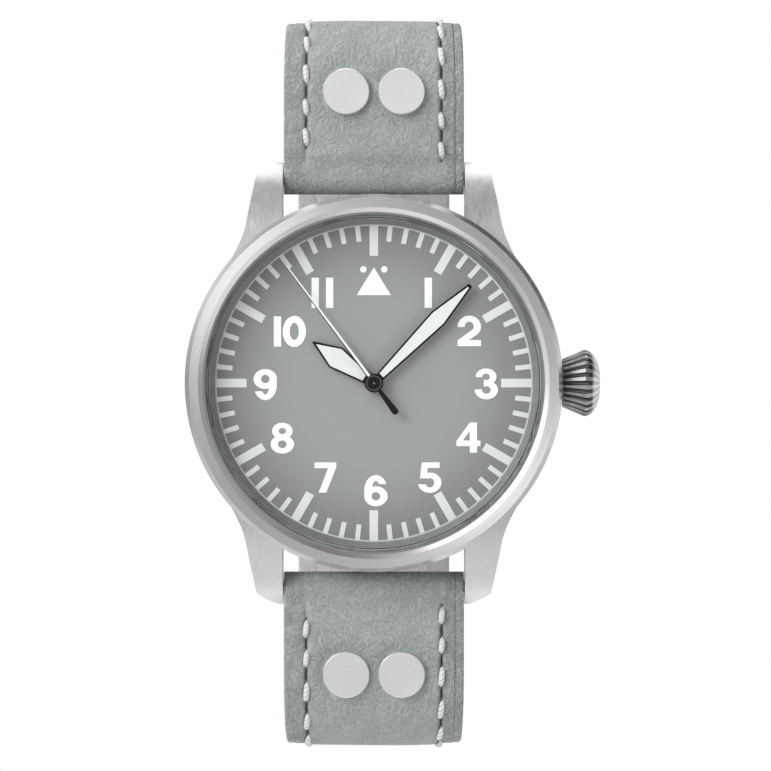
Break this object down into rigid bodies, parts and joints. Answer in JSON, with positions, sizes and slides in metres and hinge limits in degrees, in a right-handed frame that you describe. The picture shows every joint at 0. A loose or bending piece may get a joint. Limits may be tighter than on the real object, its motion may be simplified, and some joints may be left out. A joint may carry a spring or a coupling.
{
  "type": "pilot watch",
  "caption": "Round steel automatic pilot watch with a triangle dial, lozenge hands, onion-style grooved crown and a riveted leather strap fastened into a loop.",
  "frame": {"origin": "centre of the case back's outer face", "axes": "+Z out of the dial, +Y to twelve o'clock, +X to the crown"},
  "size_m": [0.0462, 0.0828, 0.0478],
  "materials": {
    "case_steel": "brushed along the flanks",
    "bezel_steel": "brushed in circles",
    "crown_steel": "satin, grooved",
    "crystal_glass": "clear, polished",
    "gasket_white": "pale nylon",
    "gasket_rubber": "matt",
    "rehaut_grey": "satin",
    "dial_grey": "matt",
    "baton_paint": "matt",
    "numeral_lume": "matt luminous paint",
    "hand_black": "gloss black",
    "hand_lume": "matt luminous paint",
    "seconds_white": "satin white",
    "plate_nickel": "nickel plated, striped",
    "gear_brass": "circular grained",
    "spring_steel": "cold rolled",
    "spring_blue": "blued",
    "pinion_steel": "polished",
    "rotor_steel": "striped",
    "ring_plastic": "moulded",
    "screw_steel": "polished",
    "strap_leather": "padded, grained",
    "lining_leather": "smooth",
    "rivet_steel": "satin",
    "buckle_steel": "brushed"
  },
  "bodies": {
    "head": {"case_middle": "case_steel", "case_back": "case_steel", "case_back_gasket": "gasket_rubber", "bezel": "bezel_steel", "crystal": "crystal_glass", "crystal_gasket": "gasket_white", "rehaut_ring": "rehaut_grey", "dial": "dial_grey", "dial_batons": "baton_paint", "dial_numerals": "numeral_lume", "mainplate": "plate_nickel", "barrel_bridge": "plate_nickel", "train_bridge": "plate_nickel", "balance_cock": "plate_nickel", "hairspring": "spring_blue", "rotor_bearing": "pinion_steel", "movement_ring": "ring_plastic", "movement_clamps": "pinion_steel", "clamp_screws": "screw_steel", "bridge_screws": "screw_steel", "crown_tube": "pinion_steel", "spring_bars": "pinion_steel", "strap_short_leather": "strap_leather", "strap_short_lining": "lining_leather", "strap_long_leather": "strap_leather", "strap_long_lining": "lining_leather", "rivets": "rivet_steel", "fixed_keeper": "strap_leather", "buckle_frame": "buckle_steel", "buckle_bar": "pinion_steel"},
    "seconds": {"fourth_wheel": "gear_brass", "seconds_hand": "seconds_white", "seconds_hand_hub": "hand_black"},
    "third": {"third_wheel": "gear_brass"},
    "minutes": {"center_wheel": "gear_brass", "cannon_pinion": "pinion_steel", "minute_hand": "hand_black", "minute_hand_lume": "hand_lume"},
    "hours": {"hour_wheel": "gear_brass", "hour_hand": "hand_black", "hour_hand_lume": "hand_lume"},
    "motion_works": {"minute_wheel": "gear_brass"},
    "drive": {"barrel": "gear_brass", "mainspring": "spring_steel"},
    "escape": {"escape_wheel": "pinion_steel"},
    "pallets": {"pallet_fork": "pinion_steel"},
    "balance": {"balance_wheel": "gear_brass"},
    "rotor": {"rotor": "rotor_steel"},
    "setting": {"setting_lever": "pinion_steel"},
    "crown": {"crown": "crown_steel", "crown_gasket": "gasket_rubber", "winding_stem": "pinion_steel", "sliding_pinion": "pinion_steel"},
    "winding_pinion": {"winding_pinion": "pinion_steel"},
    "crown_wheel": {"crown_wheel": "pinion_steel"},
    "ratchet": {"ratchet_wheel": "pinion_steel", "barrel_arbor": "pinion_steel"},
    "keeper": {"free_keeper": "strap_leather"},
    "tongue": {"buckle_tongue": "buckle_steel"}
  },
  "joints": [
    {"name": "seconds_turn", "type": "hinge", "parent": "head", "child": "seconds", "pos_m": [0, 0, 0.008], "axis": [0, 0, -1], "continuous": true},
    {"name": "third_turn", "type": "hinge", "parent": "head", "child": "third", "pos_m": [0.00209, -0.00575, 0.0035], "axis": [0, 0, -1], "continuous": true},
    {"name": "minute_turn", "type": "hinge", "parent": "head", "child": "minutes", "pos_m": [0, 0, 0.005], "axis": [0, 0, -1], "continuous": true},
    {"name": "hour_turn", "type": "hinge", "parent": "head", "child": "hours", "pos_m": [0, 0, 0.0065], "axis": [0, 0, -1], "continuous": true},
    {"name": "motion_works_turn", "type": "hinge", "parent": "head", "child": "motion_works", "pos_m": [-0.003, 0, 0.0058], "axis": [0, 0, -1], "continuous": true},
    {"name": "barrel_turn", "type": "hinge", "parent": "head", "child": "drive", "pos_m": [0.00223, 0.00612, 0.005], "axis": [0, 0, -1], "continuous": true},
    {"name": "escape_turn", "type": "hinge", "parent": "head", "child": "escape", "pos_m": [-0.00578, -0.0027, 0.0035], "axis": [0, 0, -1], "continuous": true},
    {"name": "pallet_rock", "type": "hinge", "parent": "head", "child": "pallets", "pos_m": [-0.00495, -0.00572, 0.0035], "axis": [0, 0, 1], "range_deg": [-5, 5]},
    {"name": "balance_swing", "type": "hinge", "parent": "head", "child": "balance", "pos_m": [-0.0043, -0.0081, 0.0035], "axis": [0, 0, 1], "range_deg": [-270, 270], "stiffness_Nm_per_rad": 0.000000095},
    {"name": "rotor_turn", "type": "hinge", "parent": "head", "child": "rotor", "pos_m": [0, 0, 0.0019], "axis": [0, 0, 1], "continuous": true},
    {"name": "crown_pull", "type": "slide", "parent": "head", "child": "setting", "axis": [1, 0, 0], "range_m": [0, 0.0016]},
    {"name": "crown_turn", "type": "hinge", "parent": "setting", "child": "crown", "pos_m": [0.02, 0, 0.005], "axis": [1, 0, 0], "continuous": true},
    {"name": "winding_pinion_turn", "type": "hinge", "parent": "head", "child": "winding_pinion", "pos_m": [0.0093, 0, 0.005], "axis": [1, 0, 0], "continuous": true},
    {"name": "crown_wheel_turn", "type": "hinge", "parent": "head", "child": "crown_wheel", "pos_m": [0.00639, 0, 0.0025], "axis": [0, 0, 1], "continuous": true},
    {"name": "ratchet_turn", "type": "hinge", "parent": "head", "child": "ratchet", "pos_m": [0.00223, 0.00612, 0.0025], "axis": [0, 0, 1], "continuous": true},
    {"name": "keeper_slide", "type": "slide", "parent": "head", "child": "keeper", "axis": [0, 1, 0], "range_m": [-0.0026, 0.0026]},
    {"name": "tongue_lift", "type": "hinge", "parent": "head", "child": "tongue", "pos_m": [0, 0.002, -0.0322], "axis": [1, 0, 0], "range_deg": [0, 4]}
  ],
  "couplings": [
    {"joint": "third_turn", "follows": "seconds_turn", "ratio": -0.125},
    {"joint": "minute_turn", "follows": "seconds_turn", "ratio": 0.016667},
    {"joint": "hour_turn", "follows": "seconds_turn", "ratio": 0.0013889},
    {"joint": "motion_works_turn", "follows": "seconds_turn", "ratio": -0.0055556},
    {"joint": "barrel_turn", "follows": "seconds_turn", "ratio": -0.0027778},
    {"joint": "escape_turn", "follows": "seconds_turn", "ratio": -10},
    {"joint": "winding_pinion_turn", "follows": "crown_turn", "ratio": 1},
    {"joint": "crown_wheel_turn", "follows": "crown_turn", "ratio": -0.3125},
    {"joint": "ratchet_turn", "follows": "crown_turn", "ratio": 0.2381}
  ]
}
